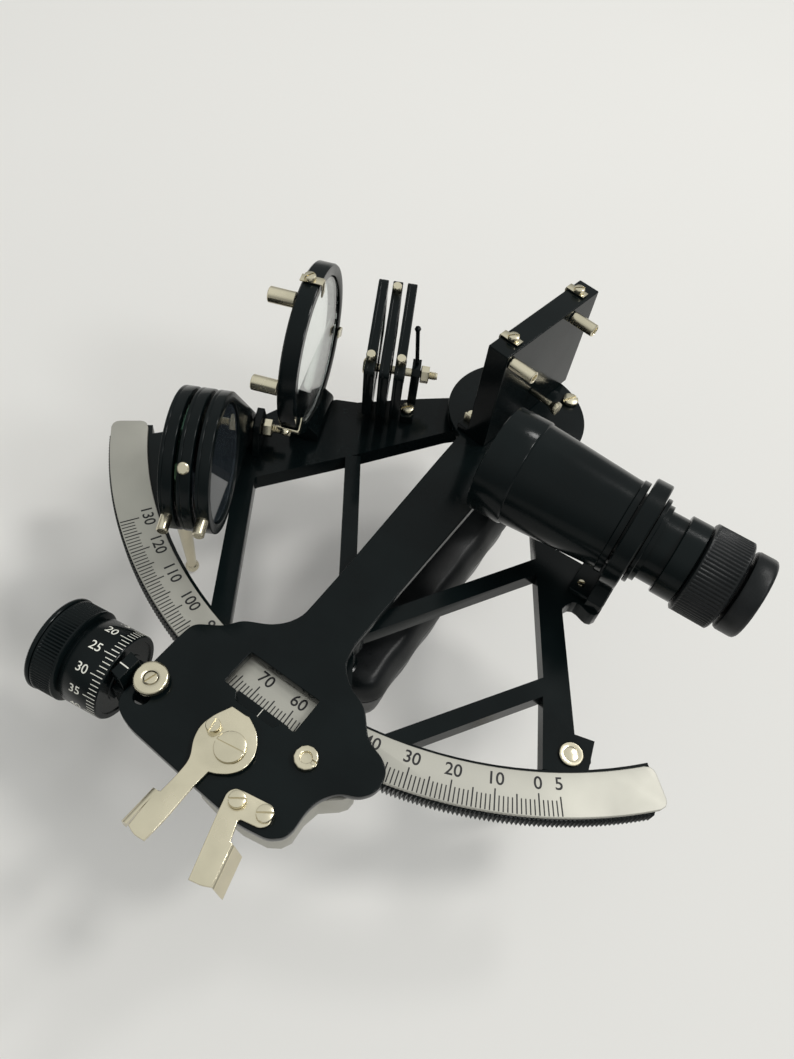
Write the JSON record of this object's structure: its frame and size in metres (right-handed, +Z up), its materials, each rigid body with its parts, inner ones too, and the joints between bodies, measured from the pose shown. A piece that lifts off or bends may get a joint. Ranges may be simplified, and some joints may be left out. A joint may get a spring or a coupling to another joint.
{
  "type": "nautical sextant",
  "caption": "Hand-held sextant with lattice frame, graduated arc, swinging index arm with worm drum, two mirrors, swing shades and a telescope, standing on ball-ended legs.",
  "frame": {"origin": "centre of the bounding box in plan, on the ground plane under the feet", "axes": "+X along the telescope towards the eyepiece, +Y from the arc towards the index pivot, +Z up from the feet"},
  "size_m": [0.241, 0.2445, 0.1387],
  "materials": {
    "black_enamel": "satin",
    "silver_metal": "satin",
    "nickel": "polished",
    "black_plastic": "matte",
    "clear_glass": "polished",
    "mirror_glass": "polished",
    "shade_glass": "polished"
  },
  "bodies": {
    "frame": {"sextant_frame": "black_enamel", "arc_scale_plate": "silver_metal", "arc_rack": "black_enamel", "leg_left": "nickel", "leg_right": "nickel", "leg_apex": "nickel", "handle_grip": "black_plastic", "handle_mount": "black_enamel", "pivot_bearing": "silver_metal", "horizon_mirror_mount": "black_enamel", "horizon_mirror_glass": "clear_glass", "horizon_adjuster_upper": "nickel", "horizon_adjuster_lower": "nickel", "horizon_clip_top": "nickel", "horizon_clip_side": "nickel", "horizon_clip_foot": "nickel", "index_shade_bolt": "nickel", "index_shade_bracket": "black_enamel", "index_shade_stop_screw": "nickel", "horizon_shade_bolt": "nickel", "horizon_shade_bracket": "black_enamel", "telescope_tube": "black_enamel", "objective_lens": "clear_glass", "telescope_bracket": "black_enamel"},
    "index_arm": {"index_arm": "black_enamel", "pivot_shaft": "silver_metal", "index_mirror_frame": "black_enamel", "index_mirror_glass": "mirror_glass", "index_clip_near": "nickel", "index_clip_far": "nickel", "index_clip_foot": "nickel", "index_adjuster_near": "nickel", "index_adjuster_far": "nickel", "index_adjuster_foot": "nickel", "disc_screw": "nickel", "index_pointer_plate": "black_enamel", "finger_rest": "nickel", "finger_rest_screw_left": "nickel", "finger_rest_screw_right": "nickel", "ring_nut": "nickel", "lever_pivot_screw": "nickel"},
    "lever": {"release_lever": "nickel"},
    "carriage": {"worm_carriage": "silver_metal", "carriage_cap": "nickel"},
    "drum": {"worm_shaft": "silver_metal", "micrometer_drum": "black_enamel"},
    "focus_ring": {"focus_ring": "black_plastic"},
    "eyepiece": {"eyepiece": "black_plastic"},
    "index_shade_1": {"index_shade_1": "black_enamel", "index_filter_1": "shade_glass"},
    "horizon_shade_1": {"horizon_shade_1": "black_enamel", "horizon_filter_1": "shade_glass"},
    "index_shade_2": {"index_shade_2": "black_enamel", "index_filter_2": "shade_glass"},
    "horizon_shade_2": {"horizon_shade_2": "black_enamel", "horizon_filter_2": "shade_glass"},
    "index_shade_3": {"index_shade_3": "black_enamel", "index_filter_3": "shade_glass"},
    "horizon_shade_3": {"horizon_shade_3": "black_enamel", "horizon_filter_3": "shade_glass"}
  },
  "joints": [
    {"name": "index_arm_swing", "type": "hinge", "parent": "frame", "child": "index_arm", "pos_m": [0.00513, 0.08971, 0.074], "axis": [0, 0, 1], "range_deg": [-32.25, 35.25]},
    {"name": "drum_spin", "type": "hinge", "parent": "carriage", "child": "drum", "pos_m": [0.02565, -0.07744, 0.0659], "axis": [0.9925, 0.1219, 0], "range_deg": [-23230, 25390]},
    {"name": "lever_squeeze", "type": "hinge", "parent": "index_arm", "child": "lever", "pos_m": [0.0023, -0.08738, 0.0775], "axis": [0, 0, 1], "range_deg": [0, 12], "stiffness_Nm_per_rad": 0.3},
    {"name": "carriage_swing", "type": "hinge", "parent": "index_arm", "child": "carriage", "pos_m": [0.03481, -0.07593, 0.066], "axis": [0, 0, 1], "range_deg": [0, 4.5]},
    {"name": "index_shade_swing_1", "type": "hinge", "parent": "frame", "child": "index_shade_1", "pos_m": [-0.0514, 0.06626, 0.0846], "axis": [0.891, 0.454, 0], "range_deg": [-85, 0]},
    {"name": "index_shade_swing_2", "type": "hinge", "parent": "frame", "child": "index_shade_2", "pos_m": [-0.0465, 0.06876, 0.0846], "axis": [0.891, 0.454, 0], "range_deg": [-85, 0]},
    {"name": "index_shade_swing_3", "type": "hinge", "parent": "frame", "child": "index_shade_3", "pos_m": [-0.0416, 0.07125, 0.0846], "axis": [0.891, 0.454, 0], "range_deg": [-85, 0]},
    {"name": "horizon_shade_swing_1", "type": "hinge", "parent": "frame", "child": "horizon_shade_1", "pos_m": [-0.08544, 0.01032, 0.077], "axis": [0.8862, 0.4633, 0], "range_deg": [-110, 0]},
    {"name": "horizon_shade_swing_2", "type": "hinge", "parent": "frame", "child": "horizon_shade_2", "pos_m": [-0.08039, 0.01296, 0.077], "axis": [0.8862, 0.4633, 0], "range_deg": [-110, 0]},
    {"name": "horizon_shade_swing_3", "type": "hinge", "parent": "frame", "child": "horizon_shade_3", "pos_m": [-0.07534, 0.0156, 0.077], "axis": [0.8862, 0.4633, 0], "range_deg": [-110, 0]},
    {"name": "focus_turn", "type": "hinge", "parent": "frame", "child": "focus_ring", "pos_m": [0.09793, 0.03871, 0.104], "axis": [1, 0, 0], "range_deg": [-60, 180]},
    {"name": "eyepiece_slide", "type": "slide", "parent": "frame", "child": "eyepiece", "axis": [1, 0, 0], "range_m": [-0.001, 0.003]}
  ],
  "couplings": [
    {"joint": "drum_spin", "follows": "index_arm_swing", "ratio": 720},
    {"joint": "carriage_swing", "follows": "lever_squeeze", "ratio": 0.375},
    {"joint": "eyepiece_slide", "follows": "focus_turn", "m_per_rad": 0.00095493}
  ]
}
